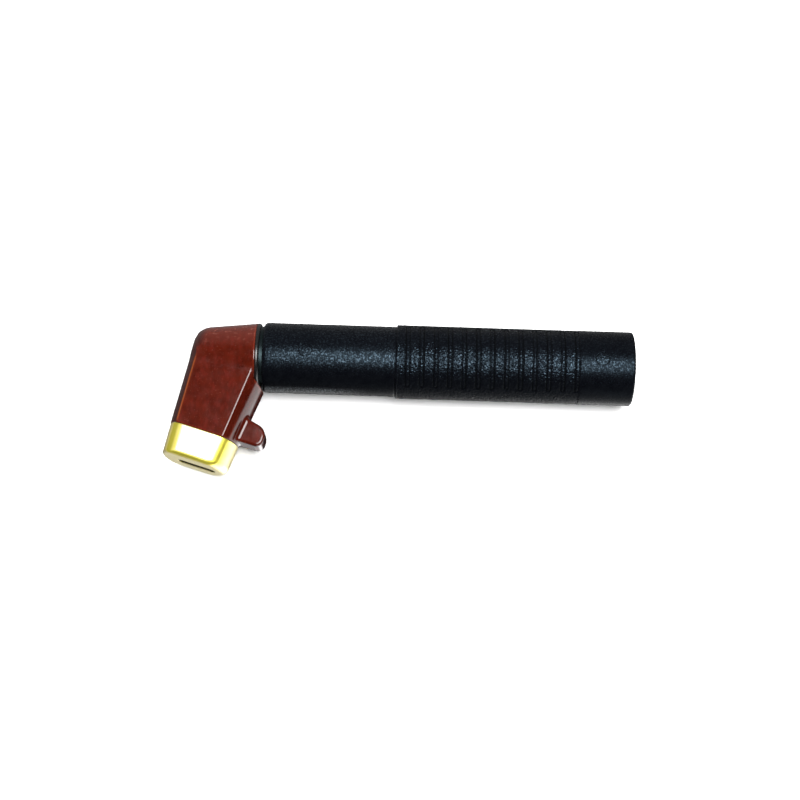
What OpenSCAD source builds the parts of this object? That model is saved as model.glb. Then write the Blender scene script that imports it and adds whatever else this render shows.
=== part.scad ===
// Twist-type electrode holder with an angled head.
// Millimetres. The origin is the cable entry, on the handle axis at the handle's rear face.
// +X leaves the handle towards the cable, the head points towards -Y, and +Z is up.
// The holder lies on its side, at rest on the grip and on the brass nose, with the jaw open.

/* [Handle] */
// Length of the handle moulding
handle_length = 183.3; // [180:0.1:190]
// Radius of the plain front part of the handle
front_r = 17.5; // [17.4:0.1:17.9]
// Radius of the ribbed grip and of the rear part
grip_r = 18.5; // [18.3:0.1:19.5]
// Radius of the bore through the handle
handle_bore_r = 14.45; // [14.45:0.05:14.6]
// Length of the plain front part, up to the step before the grip
plain_length = 65.8; // [62:0.1:70]
// Number of narrow ribs along the grip
rib_count = 13; // [3:1:13]
// Distance from one rib to the next
rib_pitch = 6.94; // [6:0.02:6.94]
// Width of one narrow rib
rib_width = 1.3; // [1:0.1:2]
// Width of the groove on each side of a rib
groove_width = 0.6; // [0.4:0.1:0.8]
// Depth of those grooves
groove_depth = 0.6; // [0.3:0.1:1]
// Half the angle that the grooves span on the upper and on the lower side, in degrees
groove_half_angle = 56; // [40:1:60]

/* [Head] */
// How far the head leans from square to the handle, in degrees
head_lean = 16.3; // [14:0.1:18]
// Gap between the handle's front edge and the point where the two axes cross
head_setback = 15.5; // [15.5:0.1:15.9]
// Distance along the head axis from the crossing point to the seam above the brass nose
seam_n = 43; // [42.5:0.1:43.5]
// Distance along the head axis from the crossing point to the end of the nose
nose_n = 58.4; // [57.5:0.1:60]
// Half thickness of the insulator across the handle
insulator_half_z = 13.9; // [13.5:0.1:14.5]
// Half thickness of the brass nose
nose_half_z = 14.2; // [13.8:0.1:14.8]
// Radius of the head's rounded side away from the handle
left_side_r = 23; // [22:0.5:26]
// Radius of the head's rounded side towards the handle
right_side_r = 16.8; // [16.5:0.1:18]
// Half thickness of the casting's leg inside the insulator
leg_half_z = 9.8; // [9.5:0.1:10]

/* [Clamp] */
// Radius of the seat that the electrode lies in
seat_r = 3.3; // [3.2:0.05:3.4]
// Offset of that seat from the head axis, towards the handle
seat_w = 7.8; // [7.6:0.1:8]
// Half thickness of the clamp lever
lever_half_z = 3; // [2.6:0.1:3]
// Radius of the pin that the lever turns on
pivot_r = 2.5; // [2.2:0.1:2.6]
// Radius of the thrust ball and of the pin behind it
ball_r = 3; // [2.9:0.05:3]

/* [Screw and connector] */
// Radius of the connector's screw
screw_r = 10; // [9.5:0.1:10]
// Radial clearance of a running fit
running_gap = 0.05; // [0.03:0.01:0.09]
// Radius of the bore that takes the cable's copper
copper_bore_r = 8.5; // [7:0.1:8.8]
// Radius of the bore in the cable bush
cable_bore_r = 12; // [10.5:0.1:12.2]
// Length of the cable bush
bush_length = 28; // [26:1:32]

/* [Hidden] */
$fn = 48;

// Stations along the handle axis.
handle_front_x = -handle_length;
step_x = handle_front_x + plain_length;
crossing_x = handle_front_x - head_setback;
collar_face_x = crossing_x + 12;
collar_end_x = collar_face_x + 1.95;
flange_end_x = collar_end_x + 3.85;
tube_end_x = flange_end_x + 10;
leg_face_x = crossing_x + 7.8;
spigot_front_x = crossing_x - 0.2;
screw_front_x = crossing_x + 15.4;
connector_flange_x = crossing_x + 30.8;
connector_waist_x = connector_flange_x + 14;
copper_bore_x = crossing_x + 48.8;
connector_end_x = crossing_x + 98.8;
front_screw_x = crossing_x + 36.6;
rear_screw_x = -16.3;
set_screw_x = [copper_bore_x + 15, copper_bore_x + 35];
first_rib_x = step_x + 5.7;

// The part is rolled about the handle axis until the nose comes down to the surface under the grip.
nose_reach = nose_n * cos(head_lean) + 1.2;
rest_roll = asin((grip_r - nose_half_z) / nose_reach);

// The clamp lever, in millimetres from the crossing point.
pivot_n = 12.5;
pivot_x = crossing_x - pivot_n * sin(head_lean);
pivot_y = -pivot_n * cos(head_lean);
arm_face = 3;
arm_thickness = 4.5;
arm_top_y = 4.5;
lever_end_n = nose_n - 2.6;
boss_r = 5;
ball_play = 0.1;
ball_x = pivot_x + arm_face + ball_play + ball_r;
ball_seat_r = 2.2;
pin_front_x = ball_x + sqrt(ball_r * ball_r - ball_seat_r * ball_seat_r);
pin_end_x = screw_front_x + 8.4;
hollow_half_z = seat_r + 0.2;
plug_r = 3.1;
slot_left_w = -8.3;
seat_shoulder_n = 36;
spring_wire_r = 0.4;
spring_mean_r = 2.3;
spring_turns = 4;
plug_face_x = crossing_x - 11.2;

// A point on the head, w towards the handle side and n towards the nose, in the handle's plane.
function on_head(w, n) = [
    crossing_x + w * cos(head_lean) - n * sin(head_lean),
    -w * sin(head_lean) - n * cos(head_lean)
];

// Widest outline of the insulator: its two sloping sides.
function left_w(n) = -20.6 + 0.068 * n;
function right_w(n) = 21.6 - 0.09 * n;

module placed() {
    rotate([rest_roll, 0, 0])
        children();
}

// Local x is w, local y is minus n.
module in_head() {
    translate([crossing_x, 0, 0])
        rotate([0, 0, -head_lean])
            children();
}

// A profile drawn as [radius, x] becomes a body of revolution about the handle axis.
module turned() {
    rotate([0, 90, 0])
        rotate_extrude($fn = 72)
            children();
}

module along_x(r, from, to, facets = 48) {
    translate([from, 0, 0])
        rotate([0, 90, 0])
            cylinder(r = r, h = to - from, $fn = facets);
}

module across_z(r, from, to, facets = 48) {
    translate([0, 0, from])
        cylinder(r = r, h = to - from, $fn = facets);
}

// Removes the long edge from a to b, at height half_z and at -half_z. The solid is on the right of a to b.
module edge_cut(a, b, half_z, r) {
    run = b - a;
    length = norm(run);
    for (side = [0, 1])
        mirror([0, 0, side])
            translate([a[0], a[1], half_z])
                rotate([0, 0, atan2(run[1], run[0])])
                    difference() {
                        translate([-1, -r, -r])
                            cube([length + 2, r + 1, r + 1]);
                        translate([-2, -r, -r])
                            rotate([0, 90, 0])
                                cylinder(r = r, h = length + 4, $fn = 40);
                    }
}

// A bar that runs from a to b, flat behind and round in front, where it touches that line at height 0.
// The bar is on the right of a to b.
module rounded_side(a, b, r) {
    run = b - a;
    translate([a[0], a[1], 0])
        rotate([0, 0, atan2(run[1], run[0])]) {
            translate([-60, -r, 0])
                rotate([0, 90, 0])
                    cylinder(r = r, h = 160, $fn = 120);
            translate([-60, -r - 60, -30])
                cube([160, 60, 60]);
        }
}

// ---- Head ----

// The leg of the casting, grown by gap so that the cavity of the insulator follows it.
module casting_leg(gap) {
    left = -12.5 - gap;
    right = 12.5 + gap;
    face_x = leg_face_x + gap;
    half_z = leg_half_z + gap;
    translate([0, 0, -half_z])
        linear_extrude(height = 2 * half_z)
            polygon([
                on_head(left, seam_n + 1),
                on_head(left, -left * tan(head_lean)),
                [face_x, 0],
                [face_x, -9.8],
                on_head(right, seam_n + 1)
            ]);
    // rounded crown above the handle axis
    intersection() {
        along_x(half_z - 0.1, crossing_x - 20, face_x, 64);
        translate([crossing_x - 30, -1, -30])
            cube([60, 30, 60]);
        in_head()
            translate([left, -40, -30])
                cube([60, 80, 60]);
    }
}

module nose_block() {
    left_top = on_head(-17.65, seam_n);
    left_end = on_head(-16.5, nose_n);
    right_top = on_head(17.75, seam_n);
    right_end = on_head(16.5, nose_n);
    difference() {
        intersection() {
            translate([0, 0, -nose_half_z])
                linear_extrude(height = 2 * nose_half_z)
                    polygon([left_top, right_top, right_end, left_end]);
            in_head()
                translate([0, 0, -20])
                    linear_extrude(height = 40)
                        nose_corners();
            rounded_side(left_end, left_top, left_side_r);
            rounded_side(right_top, right_end, right_side_r);
        }
        edge_cut(right_end, left_end, nose_half_z, 4);
    }
}

// Outline that rounds the two lower corners of the nose.
module nose_corners() {
    translate([-19, -nose_n + 4])
        square([38, 30]);
    translate([-14.9, -nose_n])
        square([27.2, 5]);
    translate([-14.9, -nose_n + 1.6])
        circle(r = 1.6);
    translate([-19, -nose_n + 1.6])
        square([4.1, 3]);
    translate([12.3, -nose_n + 4.2])
        circle(r = 4.2);
}

// Slot with a round seat at its right end, open at the nose.
module electrode_slot() {
    in_head()
        translate([0, -seat_shoulder_n, 0])
            rotate([90, 0, 0])
                linear_extrude(height = 30) {
                    translate([seat_w, 0])
                        circle(r = seat_r);
                    translate([slot_left_w + seat_r, 0])
                        circle(r = seat_r);
                    translate([slot_left_w + seat_r, -seat_r])
                        square([seat_w - slot_left_w - seat_r, 2 * seat_r]);
                }
}

// The hollow that the clamp lever swings in, above the electrode slot.
module lever_hollow() {
    translate([0, 0, -hollow_half_z])
        linear_extrude(height = 2 * hollow_half_z)
            polygon([
                on_head(-9, seat_shoulder_n + 0.5),
                on_head(-9, -4.2),
                [spigot_front_x + 0.1, 6.6],
                [spigot_front_x + 0.1, -7],
                on_head(5.5, 8.5),
                on_head(5.5, seat_shoulder_n + 0.5)
            ]);
}

module head_casting() {
    color([0.78, 0.62, 0.32])
        placed()
            difference() {
                union() {
                    casting_leg(0);
                    nose_block();
                }
                electrode_slot();
                lever_hollow();
                along_x(7.5, spigot_front_x, leg_face_x + 1);
                along_x(plug_r + 0.02, crossing_x - 20, crossing_x - 8);
                translate([pivot_x, pivot_y, 0])
                    across_z(pivot_r, -20, 20);
                lock_screw_hole();
            }
}

module lug() {
    translate([0, 0, -7])
        linear_extrude(height = 14)
            difference() {
                union() {
                    polygon([
                        [10, -24], [18.2, -26.4], [21.2, -29.4], [24.4, -30.2],
                        [29.4, -35.2], [29.4, -37.2], [25.4, -41.2], [10, -41.2]
                    ]);
                    translate([24.4, -35.2])
                        circle(r = 5);
                    translate([25.4, -37.2])
                        circle(r = 4);
                }
                translate([23.6, -23.6])
                    circle(r = 6);
            }
}

module head_insulator() {
    left_low = on_head(left_w(seam_n), seam_n - 0.1);
    left_high = on_head(left_w(5.5), 5.5);
    right_low = on_head(right_w(seam_n), seam_n - 0.1);
    right_high = on_head(right_w(0), 0);
    color([0.36, 0.10, 0.06])
        placed()
            difference() {
                union() {
                    intersection() {
                        union() {
                            intersection() {
                                translate([0, 0, -insulator_half_z])
                                    linear_extrude(height = 2 * insulator_half_z)
                                        polygon([
                                            left_low, left_high, [right_high[0], 0], right_high, right_low
                                        ]);
                                rounded_side(right_high, right_low, right_side_r);
                            }
                            turned()
                                barrel_profile(crossing_x - 21);
                        }
                        rounded_side(left_low, left_high, left_side_r);
                    }
                    in_head()
                        lug();
                }
                // room for the collar and for the handle's front edge
                along_x(18.1, collar_face_x, collar_face_x + 40, 96);
                casting_leg(0.2);
                along_x(12.2, leg_face_x, collar_face_x + 1, 64);
            }
}

// The barrel widens towards the collar and has a well rounded left end.
module barrel_profile(from_x) {
    shoulder_r = 9.5;
    flat_r = 4.7;
    polygon([
        [0, from_x], [flat_r, from_x], [flat_r + shoulder_r, from_x + shoulder_r],
        [16.9, collar_face_x + 1], [0, collar_face_x + 1]
    ]);
    translate([flat_r, from_x + shoulder_r])
        intersection() {
            circle(r = shoulder_r, $fn = 96);
            translate([0, -shoulder_r])
                square([shoulder_r, shoulder_r]);
        }
}

module collar_ring() {
    edge_r = 1.3;
    outer_r = 17;
    from = collar_face_x + 0.02;
    to = collar_end_x - 0.02;
    color([0.07, 0.07, 0.07])
        placed()
            turned() {
                translate([12.1, from])
                    square([outer_r - edge_r - 12.1, to - from]);
                translate([12.1, from])
                    square([outer_r - 12.1, to - from - edge_r]);
                translate([outer_r - edge_r, to - edge_r])
                    intersection() {
                        circle(r = edge_r);
                        square(edge_r);
                    }
            }
}

module lock_screw_hole() {
    translate([crossing_x + 4, 4.9, 0])
        rotate([-90, 0, 0])
            cylinder(r = 1.5, h = 20, $fn = 32);
}

module threaded_sleeve() {
    color([0.58, 0.60, 0.60])
        placed()
            difference() {
                turned()
                    polygon([
                        [3.1, spigot_front_x], [7.48, spigot_front_x], [7.48, leg_face_x + 0.02],
                        [12, leg_face_x + 0.02], [12, collar_end_x], [15.5, collar_end_x],
                        [15.5, collar_end_x + 1.6], [14.7, collar_end_x + 1.6], [14.7, collar_end_x + 3],
                        [15.5, collar_end_x + 3], [15.5, flange_end_x], [13, flange_end_x],
                        [13, tube_end_x], [screw_r + running_gap, tube_end_x],
                        [screw_r + running_gap, screw_front_x - 2], [3.1, screw_front_x - 2]
                    ]);
                lock_screw_hole();
            }
}

module sleeve_lock_screw() {
    color([0.25, 0.25, 0.27])
        placed()
            translate([crossing_x + 4, 0, 0])
                rotate([-90, 0, 0])
                    difference() {
                        translate([0, 0, 5])
                            cylinder(r = 1.48, h = 4.6, $fn = 32);
                        translate([0, 0, 8.2])
                            cylinder(r = 0.75, h = 2, $fn = 6);
                    }
}

module flange_seal() {
    color([0.05, 0.05, 0.05])
        placed()
            turned()
                translate([15.1, collar_end_x + 2.3])
                    intersection() {
                        circle(r = 0.68);
                        translate([-0.38, -1])
                            square([2, 2]);
                    }
}

module pivot_pin() {
    color([0.55, 0.56, 0.58])
        placed()
            translate([pivot_x, pivot_y, 0])
                across_z(pivot_r - 0.02, -leg_half_z + 0.2, leg_half_z - 0.2);
}

module clamp_lever() {
    color([0.66, 0.52, 0.28])
        placed()
            difference() {
                lever_blank();
                translate([pivot_x, pivot_y, 0])
                    across_z(pivot_r + running_gap, -10, 10);
                in_head() {
                    // a groove along the jaw keeps the electrode on its centre line
                    translate([4, -50, 0])
                        rotate([0, 45, 0])
                            translate([-0.9, -10, -0.9])
                                cube([1.8, 22, 1.8]);
                    // teeth across the jaw
                    for (row = [0 : 5])
                        translate([4, -39.5 - 2.6 * row, -5])
                            rotate([0, 0, 45])
                                translate([-0.45, -0.45, 0])
                                    cube([0.9, 0.9, 10]);
                }
            }
}

module lever_plate() {
    translate([0, 0, -lever_half_z])
        linear_extrude(height = 2 * lever_half_z)
            children();
}

module lever_blank() {
    translate([pivot_x, pivot_y, 0])
        across_z(boss_r, -lever_half_z, lever_half_z);
    // upper arm, square to the handle axis while the jaw is open
    lever_plate()
        polygon([
            [pivot_x + arm_face - arm_thickness, pivot_y], [pivot_x + arm_face - arm_thickness, arm_top_y],
            [pivot_x + arm_face, arm_top_y], [pivot_x + arm_face, pivot_y]
        ]);
    // lower arm with the jaw
    lever_plate()
        polygon([
            on_head(-4.6, pivot_n + 0.5), on_head(-6, pivot_n + 12), on_head(-6, lever_end_n),
            on_head(4, lever_end_n), on_head(4, seat_shoulder_n + 1.2), on_head(2.3, seat_shoulder_n + 0.4),
            on_head(4.6, pivot_n + 1)
        ]);
}

// A coil spring along x, as one closed surface round a helix.
module return_spring() {
    from = plug_face_x + spring_wire_r + 0.05;
    to = pivot_x + arm_face - arm_thickness - spring_wire_r - 0.05;
    steps = 24 * spring_turns;
    sides = 8;
    ring = [for (i = [0 : steps]) for (k = [0 : sides - 1])
        let (
            turn = 360 * spring_turns * i / steps,
            reach = spring_mean_r + spring_wire_r * cos(360 * k / sides)
        )
        [
            from + (to - from) * i / steps + spring_wire_r * sin(360 * k / sides),
            reach * cos(turn),
            reach * sin(turn)
        ]
    ];
    walls = [for (i = [0 : steps - 1]) for (k = [0 : sides - 1])
        [
            i * sides + k,
            i * sides + (k + 1) % sides,
            (i + 1) * sides + (k + 1) % sides,
            (i + 1) * sides + k
        ]
    ];
    first_end = [for (k = [sides - 1 : -1 : 0]) k];
    last_end = [for (k = [0 : sides - 1]) steps * sides + k];
    color([0.7, 0.7, 0.72])
        placed()
            polyhedron(points = ring, faces = concat(walls, [first_end, last_end]), convexity = 6);
}

module spring_plug() {
    color([0.72, 0.58, 0.3])
        placed()
            difference() {
                along_x(plug_r, plug_face_x - 3.2, plug_face_x);
                along_x(1.3, plug_face_x - 4, plug_face_x - 0.9, 6);
                // its outer end is flush with the side of the casting's leg
                in_head()
                    translate([-22.5, -10, -10])
                        cube([10, 20, 20]);
            }
}

module thrust_ball() {
    color([0.75, 0.76, 0.78])
        placed()
            translate([ball_x, 0, 0])
                sphere(r = ball_r, $fn = 40);
}

module thrust_pin() {
    color([0.5, 0.51, 0.53])
        placed()
            difference() {
                along_x(ball_r, pin_front_x - 0.6, pin_end_x);
                along_x(ball_seat_r, pin_front_x - 1, pin_front_x + 0.6, 40);
                translate([ball_x, 0, 0])
                    sphere(r = ball_r + 0.01, $fn = 40);
            }
}

// ---- Handle ----

// Hole through the handle wall for a recessed screw, with a wider mouth for its plug.
module plug_hole(x, outer_r) {
    for (side = [0, 180])
        rotate([side, 0, 0])
            translate([x, 0, 0]) {
                cylinder(r = 2.2, h = outer_r + 2, $fn = 32);
                translate([0, 0, handle_bore_r + 0.6])
                    cylinder(r = 3.25, h = 6, $fn = 40);
            }
}

module grip_grooves() {
    span = 2 * groove_half_angle;
    for (side = [0, 180])
        rotate([side - groove_half_angle, 0, 0])
            rotate([0, 90, 0])
                rotate([0, 0, 180])
                    rotate_extrude(angle = span, $fn = 72)
                        for (rib = [0 : rib_count - 1])
                            for (flank = [-1, 1])
                                translate([
                                    grip_r - groove_depth,
                                    first_rib_x + rib * rib_pitch
                                        + flank * (rib_width + groove_width) / 2 - groove_width / 2
                                ])
                                    square([groove_depth + 1, groove_width]);
}

module handle_shell() {
    color([0.06, 0.06, 0.065])
        placed()
            difference() {
                turned()
                    handle_profile();
                grip_grooves();
                plug_hole(front_screw_x, front_r);
                plug_hole(rear_screw_x, grip_r);
            }
}

module handle_profile() {
    front_edge_r = 1.5;
    rear_edge_r = 1;
    difference() {
        union() {
            translate([handle_bore_r, handle_front_x])
                square([front_r - handle_bore_r - front_edge_r, handle_length]);
            translate([handle_bore_r, handle_front_x + front_edge_r])
                square([front_r - handle_bore_r, plain_length]);
            translate([front_r - front_edge_r, handle_front_x + front_edge_r])
                circle(r = front_edge_r);
            translate([handle_bore_r, step_x])
                square([grip_r - handle_bore_r, -step_x - rear_edge_r]);
            translate([handle_bore_r, -2])
                square([grip_r - handle_bore_r - rear_edge_r, 2]);
            translate([grip_r - rear_edge_r, -rear_edge_r])
                circle(r = rear_edge_r);
        }
        // the front end slides over the flange of the sleeve
        translate([0, handle_front_x - 1])
            square([15.9, flange_end_x - handle_front_x + 3]);
    }
}

module cable_connector() {
    color([0.8, 0.64, 0.34])
        placed()
            difference() {
                turned()
                    polygon([
                        [0, screw_front_x], [screw_r - 0.6, screw_front_x], [screw_r, screw_front_x + 0.6],
                        [screw_r, connector_flange_x], [14.4, connector_flange_x],
                        [14.4, connector_waist_x], [12.5, connector_waist_x],
                        [12.5, connector_end_x - 7], [14.4, connector_end_x - 7],
                        [14.4, connector_end_x], [0, connector_end_x]
                    ]);
                along_x(ball_r + running_gap, screw_front_x - 1, pin_end_x + 0.02);
                along_x(copper_bore_r, copper_bore_x, connector_end_x + 1, 64);
                for (side = [0, 180])
                    rotate([side, 0, 0])
                        translate([front_screw_x, 0, 8])
                            cylinder(r = 2, h = 10, $fn = 32);
                for (x = set_screw_x)
                    translate([x, 0, 0])
                        cylinder(r = 4, h = 20, $fn = 40);
            }
}

module cable_set_screws() {
    color([0.35, 0.36, 0.38])
        placed()
            for (x = set_screw_x)
                translate([x, 0, copper_bore_r + 0.1])
                    difference() {
                        cylinder(r = 3.97, h = 12.4 - copper_bore_r - 0.1, $fn = 40);
                        translate([0, 0, 1.2])
                            cylinder(r = 2, h = 5, $fn = 6);
                    }
}

// Cap screws with a hexagon socket. reach is the depth of the tip, measured from the axis.
module cap_screws(x, reach, seat) {
    for (side = [0, 180])
        rotate([side, 0, 0])
            translate([x, 0, 0])
                difference() {
                    union() {
                        translate([0, 0, reach])
                            cylinder(r = 1.97, h = seat - reach + 0.1, $fn = 32);
                        translate([0, 0, seat])
                            cylinder(r = 3.1, h = 1.3, $fn = 40);
                    }
                    translate([0, 0, seat + 0.4])
                        cylinder(r = 1.2, h = 2, $fn = 6);
                }
}

module handle_screws() {
    color([0.4, 0.41, 0.43])
        placed()
            cap_screws(front_screw_x, 8.4, handle_bore_r + 0.62);
}

module bush_screws() {
    color([0.4, 0.41, 0.43])
        placed()
            cap_screws(rear_screw_x, cable_bore_r + 0.3, handle_bore_r + 0.62);
}

// Thin discs that close the screw holes, their outer faces flush with the handle.
module plugs(x, outer_r) {
    intersection() {
        for (side = [0, 180])
            rotate([side, 0, 0])
                translate([x, 0, handle_bore_r + 2])
                    cylinder(r = 3.15, h = 5, $fn = 40);
        along_x(outer_r - 0.03, x - 5, x + 5, 180);
    }
}

module handle_screw_plugs() {
    color([0.1, 0.1, 0.11])
        placed()
            plugs(front_screw_x, front_r);
}

module bush_screw_plugs() {
    color([0.1, 0.1, 0.11])
        placed()
            plugs(rear_screw_x, grip_r);
}

module cable_bush() {
    color([0.12, 0.12, 0.12])
        placed()
            difference() {
                along_x(handle_bore_r - 0.05, -bush_length, 0, 72);
                along_x(cable_bore_r, -bush_length - 1, 1, 72);
                for (side = [0, 180])
                    rotate([side, 0, 0])
                        translate([rear_screw_x, 0, 8])
                            cylinder(r = 2, h = 10, $fn = 32);
            }
}

head_casting();
head_insulator();
collar_ring();
threaded_sleeve();
sleeve_lock_screw();
pivot_pin();
clamp_lever();
return_spring();
spring_plug();
thrust_ball();
thrust_pin();
flange_seal();
handle_shell();
cable_connector();
cable_set_screws();
handle_screws();
handle_screw_plugs();
cable_bush();
bush_screws();
bush_screw_plugs();
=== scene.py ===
"""Looks for the twist-type electrode holder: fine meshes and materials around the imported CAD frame.

Shapes are worked out in millimetres in the handle's own frame (x along the handle, y away from the
nose, z across), then rolled about the handle axis and scaled to metres, as the CAD is.
"""

import math

import bpy
import numpy as np
from mathutils import Matrix, Vector


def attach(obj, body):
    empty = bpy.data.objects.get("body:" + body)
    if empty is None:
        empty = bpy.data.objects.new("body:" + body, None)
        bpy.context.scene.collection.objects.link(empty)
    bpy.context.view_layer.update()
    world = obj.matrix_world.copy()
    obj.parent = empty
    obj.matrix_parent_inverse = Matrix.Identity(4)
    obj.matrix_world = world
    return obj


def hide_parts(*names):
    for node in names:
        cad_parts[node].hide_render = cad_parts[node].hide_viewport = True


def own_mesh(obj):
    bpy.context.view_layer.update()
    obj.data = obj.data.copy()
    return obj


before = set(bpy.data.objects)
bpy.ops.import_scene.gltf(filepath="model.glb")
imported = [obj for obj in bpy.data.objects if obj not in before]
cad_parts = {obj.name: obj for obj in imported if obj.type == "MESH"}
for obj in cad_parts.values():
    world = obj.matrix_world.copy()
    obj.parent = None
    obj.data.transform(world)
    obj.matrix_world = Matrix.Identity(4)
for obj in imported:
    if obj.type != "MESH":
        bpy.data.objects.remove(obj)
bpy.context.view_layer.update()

MM = 0.001

# ---- Dimensions in millimetres, which follow the CAD's ----

HANDLE_LENGTH = 183.3
HANDLE_FRONT = -HANDLE_LENGTH
FRONT_R = 17.5
# a hundredth inside the CAD's 18.5, so that it stays within the CAD's facets
GRIP_R = 18.49
BORE_R = 14.45
COUNTERBORE_R = 15.9
FRONT_EDGE_R = 2.0
REAR_EDGE_R = 1.2
STEP_X = HANDLE_FRONT + 65.8
GRIP_END_X = -27.1
RIB_COUNT = 13
RIB_PITCH = 6.94
RIB_WIDTH = 1.3
GROOVE_WIDTH = 0.62
GROOVE_DEPTH = 0.62
GROOVE_HALF_ANGLE = math.radians(56)
FIRST_RIB_X = STEP_X + 5.7

LEAN = math.radians(16.3)
CROSSING_X = HANDLE_FRONT - 15.5
COLLAR_X = CROSSING_X + 12
COLLAR_END_X = COLLAR_X + 1.95
FLANGE_END_X = COLLAR_END_X + 3.85
COLLAR_R = 17
COLLAR_BORE_R = 12.1
LEG_FACE_X = CROSSING_X + 7.8
SPIGOT_X = CROSSING_X - 0.2
FRONT_SCREW_X = CROSSING_X + 36.6
REAR_SCREW_X = -16.3
SCREW_HOLE_R = 2.2
PLUG_HOLE_R = 3.3
PLUG_R = 3.26
PLUG_SEAT_R = 15.05

SEAM_N = 43.0
NOSE_N = 58.4
NOSE_HALF_Z = 14.2
NOSE_EDGE_R = 2.9
INSULATOR_HALF_Z = 13.9
LEFT_W = 20.6
LEFT_TAPER = 0.068
LEFT_SIDE_R = 23.0
RIGHT_W = 21.6
RIGHT_TAPER = 0.09
BARREL_X = CROSSING_X - 12.2
BARREL_END_X = CROSSING_X - 21
BARREL_R = 14.3
BARREL_SLOPE = 0.107
LUG_SLOPE = 0.22
LEG_HALF_Z = 9.8
LEG_HALF_W = 12.5
SEAT_R = 3.3
SEAT_W = 7.8
SLOT_LEFT_W = -8.3
SLOT_MIDDLE_W = (SEAT_W + SLOT_LEFT_W + SEAT_R) / 2
SHOULDER_N = 36.0
PIVOT_N = 12.5
PIVOT_R = 2.5
REST_ROLL = math.asin((GRIP_R - NOSE_HALF_Z) / (NOSE_N * math.cos(LEAN) + 1.2))

TO_ROW = Matrix.Rotation(REST_ROLL, 4, "X") @ Matrix.Scale(MM, 4)


# ---- Meshes ----


def new_piece(name, points, faces, body, stands_for):
    """A smooth mesh piece from millimetre points, put in the row frame, riding on a CAD body."""
    mesh = bpy.data.meshes.new(name)
    turn = np.array(TO_ROW.to_3x3())
    points = np.asarray(points, float) @ turn.T
    faces = [np.asarray(f, np.int32) for f in faces]
    sizes = np.concatenate([np.full(len(f), f.shape[1]) for f in faces])
    corners = np.concatenate([f.ravel() for f in faces])
    mesh.vertices.add(len(points))
    mesh.vertices.foreach_set("co", points.astype(np.float32).ravel())
    mesh.loops.add(len(corners))
    mesh.loops.foreach_set("vertex_index", corners)
    mesh.polygons.add(len(sizes))
    starts = np.concatenate([[0], np.cumsum(sizes)[:-1]])
    mesh.polygons.foreach_set("loop_start", starts.astype(np.int32))
    mesh.polygons.foreach_set("use_smooth", np.full(len(sizes), True))
    mesh.update(calc_edges=True)
    mesh.validate()
    piece = bpy.data.objects.new(name, mesh)
    bpy.context.scene.collection.objects.link(piece)
    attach(piece, body)
    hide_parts(*stands_for)
    return piece


def shade_by_normals(piece, normals):
    """Shades a piece by given normals instead of by its faces, which keeps tight creases crisp."""
    turn = np.array(TO_ROW.to_3x3().normalized())
    piece.data.normals_split_custom_set_from_vertices((normals @ turn.T).tolist())


def paint_vertices(piece, name, values):
    """Stores one number per vertex for the piece's material to read."""
    layer = piece.data.attributes.new(name, "FLOAT", "POINT")
    layer.data.foreach_set("value", np.asarray(values, np.float32))


def smoothstep(low, high, value):
    """0 below low and 1 above high, with an eased rise between."""
    t = np.clip((value - low) / (high - low), 0.0, 1.0)
    return t * t * (3 - 2 * t)


def round_cut(a, b, radius):
    """Where both distances are negative, with the edge between them rounded."""
    u, v = np.maximum(a + radius, 0), np.maximum(b + radius, 0)
    return np.minimum(np.maximum(a, b), -radius) + np.sqrt(u * u + v * v)


def fillet_cut(a, b, cosine, radius):
    """As round_cut, with a true arc between flats whose normals meet at the given cosine."""
    u, v = a + radius, b + radius
    inside = (u > v * cosine) & (v > u * cosine)
    arc = np.sqrt(np.maximum(u * u + v * v - 2 * u * v * cosine, 0) / (1 - cosine**2)) - radius
    return np.where(inside, arc, np.maximum(a, b))


def round_join(a, b, radius):
    """Where either distance is negative, with a fillet between them."""
    u, v = np.maximum(radius - a, 0), np.maximum(radius - b, 0)
    return np.maximum(np.minimum(a, b), radius) - np.sqrt(u * u + v * v)


def slope_of(distance, points):
    """How fast a distance shape rises along x, y and z at each point."""
    tiny = 0.01
    rises = [distance(points + d) - distance(points - d) for d in np.eye(3) * tiny]
    return np.stack(rises, -1) / (2 * tiny)


def surface_normals(distance, points):
    """Unit normals of a distance shape at its surface points."""
    slope = slope_of(distance, points)
    return slope / (np.linalg.norm(slope, axis=-1)[:, None] + 1e-9)


def surface_cells(field):
    """A point in each grid cell that the surface crosses, in grid steps, and the grid of point numbers."""
    cells = tuple(n - 1 for n in field.shape)
    total = np.zeros(cells + (3,))
    count = np.zeros(cells)

    def at(corner):
        return field[tuple(slice(c, c + n) for c, n in zip(corner, cells))]

    for a in [(i, j, k) for i in (0, 1) for j in (0, 1) for k in (0, 1)]:
        for axis in range(3):
            if a[axis]:
                continue
            b = tuple(c + (i == axis) for i, c in enumerate(a))
            near, far = at(a), at(b)
            crossed = (near < 0) != (far < 0)
            share = np.where(crossed, near / np.where(crossed, near - far, 1), 0)
            for i in range(3):
                total[..., i] += crossed * (a[i] + (share if i == axis else 0))
            count += crossed
    used = count > 0
    numbers = np.full(cells, -1, np.int64)
    numbers[used] = np.arange(used.sum())
    return np.argwhere(used) + total[used] / count[used][:, None], numbers


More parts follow.
